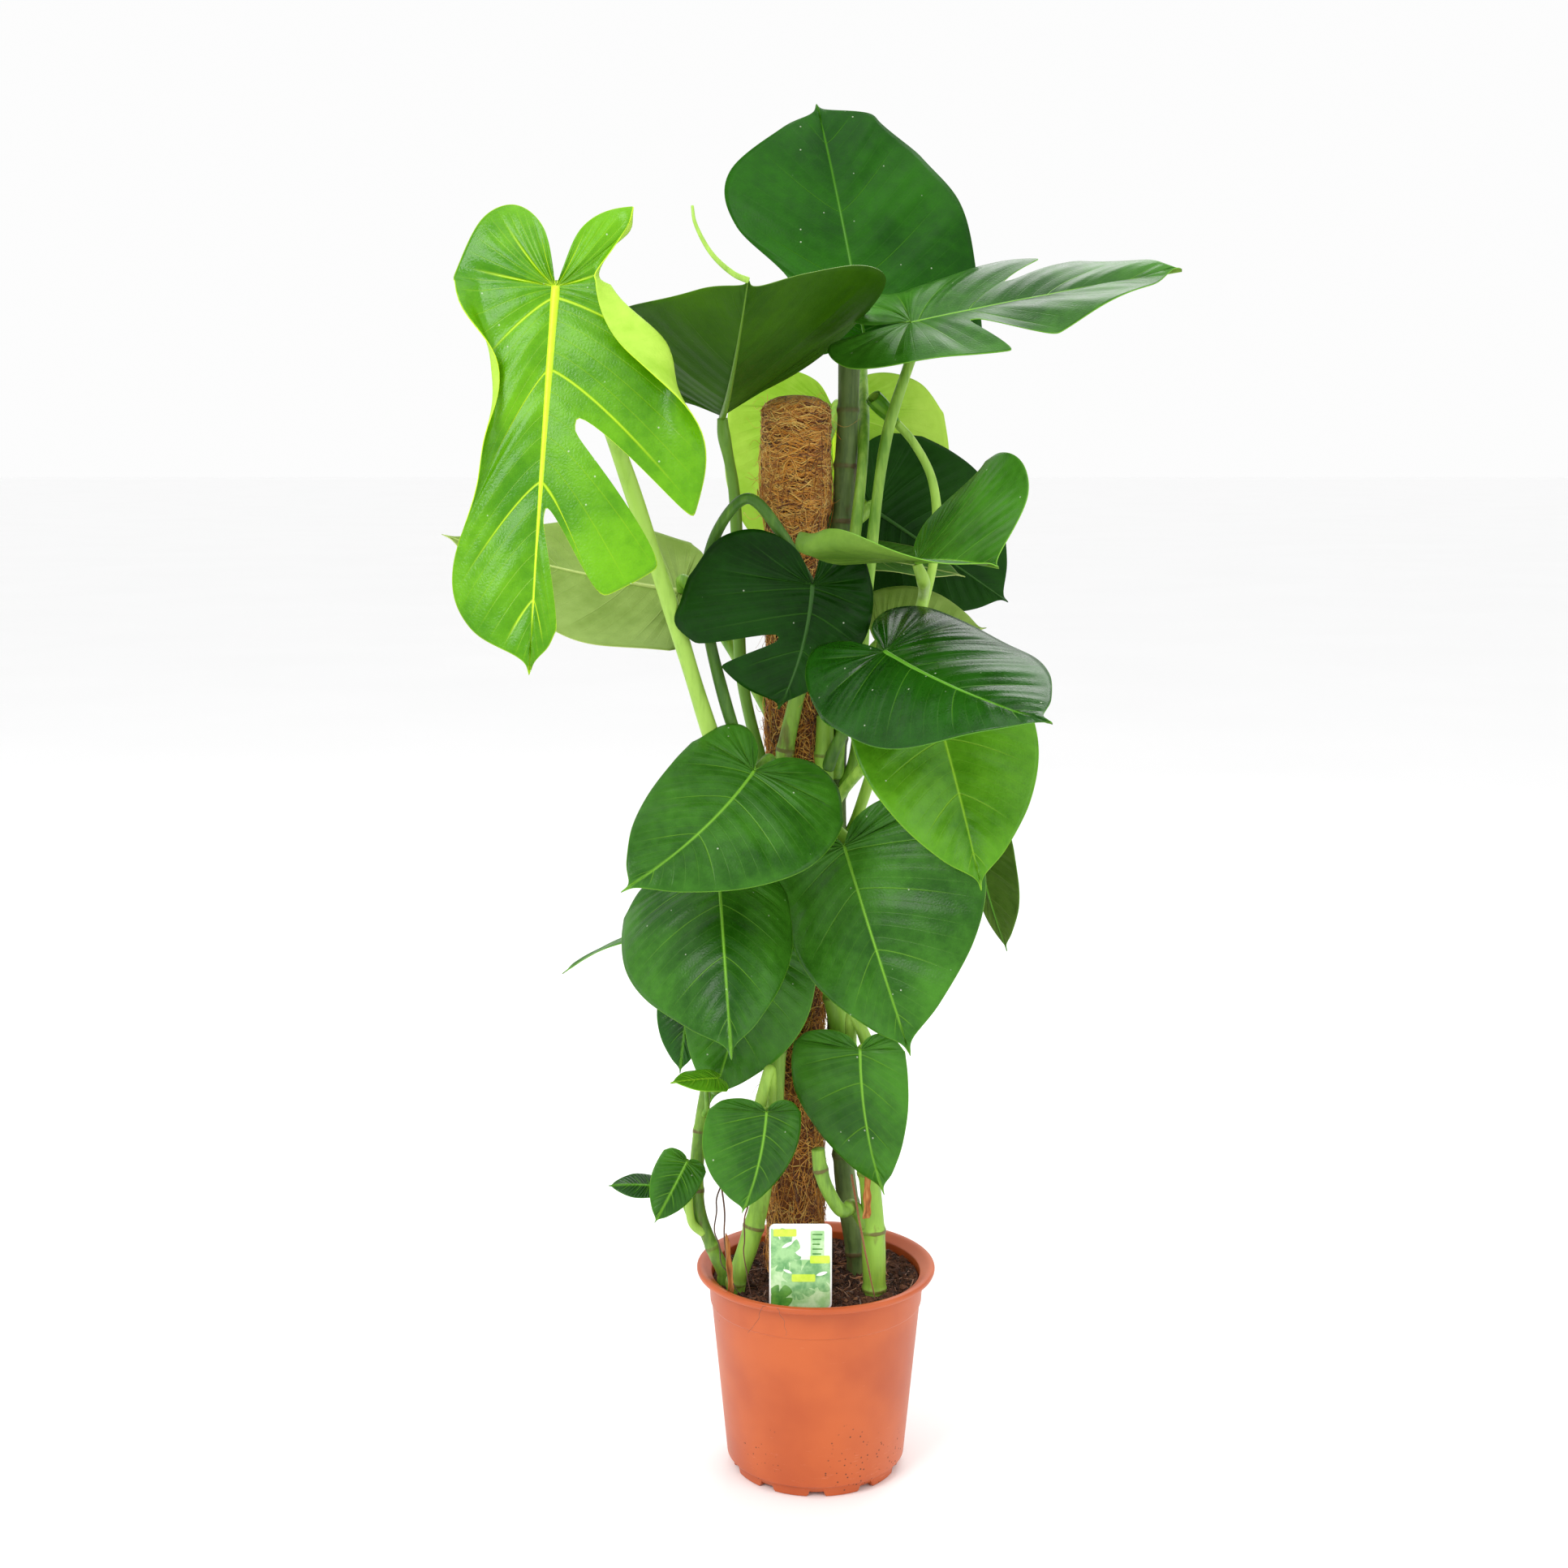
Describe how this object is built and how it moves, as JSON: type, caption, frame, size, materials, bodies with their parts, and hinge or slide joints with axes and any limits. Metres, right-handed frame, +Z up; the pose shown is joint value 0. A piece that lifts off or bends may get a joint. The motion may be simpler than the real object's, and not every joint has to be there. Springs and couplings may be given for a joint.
{
  "type": "potted monstera plant",
  "caption": "Climbing monstera with heart-shaped and split leaves beside a coir pole in a round plastic nursery pot, with a blank-backed plant card in the soil.",
  "frame": {"origin": "centre of the flat face the pot stands on", "axes": "+Z up along the pot's axis, -Y towards the plant's front, +X to the right as seen from the front"},
  "size_m": [0.6142, 0.4715, 1.1959],
  "materials": {
    "pot_plastic": "smooth moulded terracotta-coloured plastic, soft sheen",
    "soil": "moist dark peat and coir mix, crumbly and matt",
    "core_plastic": "plain dark tube, not seen",
    "coir": "coarse orange-brown coconut fibre, matt, loose strands",
    "label_card": "smooth printed plastic card, pale with green leaf artwork",
    "stem_green": "grey-green living stem with rings at its nodes, satin",
    "stalk_green": "fresh green leaf stalk, smooth satin",
    "leaf_deep": "glossy dark green blade, pale midrib and fine side veins",
    "leaf_mid": "glossy mid green blade, pale midrib and fine side veins",
    "leaf_bright": "glossy fresh green blade, yellow-green midrib",
    "leaf_lime": "young lime green blade, satin, translucent look",
    "leaf_olive": "paler underside green, satin, raised veins",
    "leaf_dry": "dry brown papery sheath, matt"
  },
  "bodies": {
    "root": {"coir_pole": "coir", "dry_sheath": "leaf_dry", "leaf_back_dark": "leaf_deep", "leaf_back_lime": "leaf_lime", "leaf_back_olive": "leaf_olive", "leaf_behind_left": "leaf_deep", "leaf_bright_right": "leaf_bright", "leaf_far_right": "leaf_deep", "leaf_front_split": "leaf_deep", "leaf_glossy": "leaf_deep", "leaf_heart_left": "leaf_mid", "leaf_heart_low": "leaf_mid", "leaf_heart_right": "leaf_mid", "leaf_lime_split": "leaf_lime", "leaf_low_left": "leaf_mid", "leaf_mid_left": "leaf_deep", "leaf_mid_right": "leaf_deep", "leaf_pale_left": "leaf_olive", "leaf_right_split": "leaf_mid", "leaf_rolled": "leaf_bright", "leaf_side_left": "leaf_mid", "leaf_silver_fold": "leaf_olive", "leaf_small_dark": "leaf_deep", "leaf_small_light": "leaf_bright", "leaf_tiny_left": "leaf_deep", "leaf_top": "leaf_bright", "leaf_under_top": "leaf_olive", "leaf_wavy": "leaf_bright", "petiole_back_dark": "stalk_green", "petiole_back_lime": "stalk_green", "petiole_back_olive": "stalk_green", "petiole_behind_left": "stalk_green", "petiole_bright_right": "stalk_green", "petiole_far_right": "stalk_green", "petiole_front_split": "stalk_green", "petiole_glossy": "stalk_green", "petiole_heart_left": "stalk_green", "petiole_heart_low": "stalk_green", "petiole_heart_right": "stalk_green", "petiole_lime_split": "stalk_green", "petiole_low_left": "stalk_green", "petiole_mid_left": "stalk_green", "petiole_mid_right": "stalk_green", "petiole_pale_left": "stalk_green", "petiole_right_split": "stalk_green", "petiole_rolled": "stalk_green", "petiole_silver_fold": "stalk_green", "petiole_top": "stalk_green", "petiole_under_top": "stalk_green", "petiole_wavy": "stalk_green", "plant_label": "label_card", "pole_core": "core_plastic", "pot": "pot_plastic", "soil": "soil", "stem_back": "stem_green", "stem_front": "stem_green", "stem_left": "stem_green", "stem_low_right": "stem_green", "stem_right": "stem_green", "stem_stub": "stem_green"}
  },
  "joints": []
}
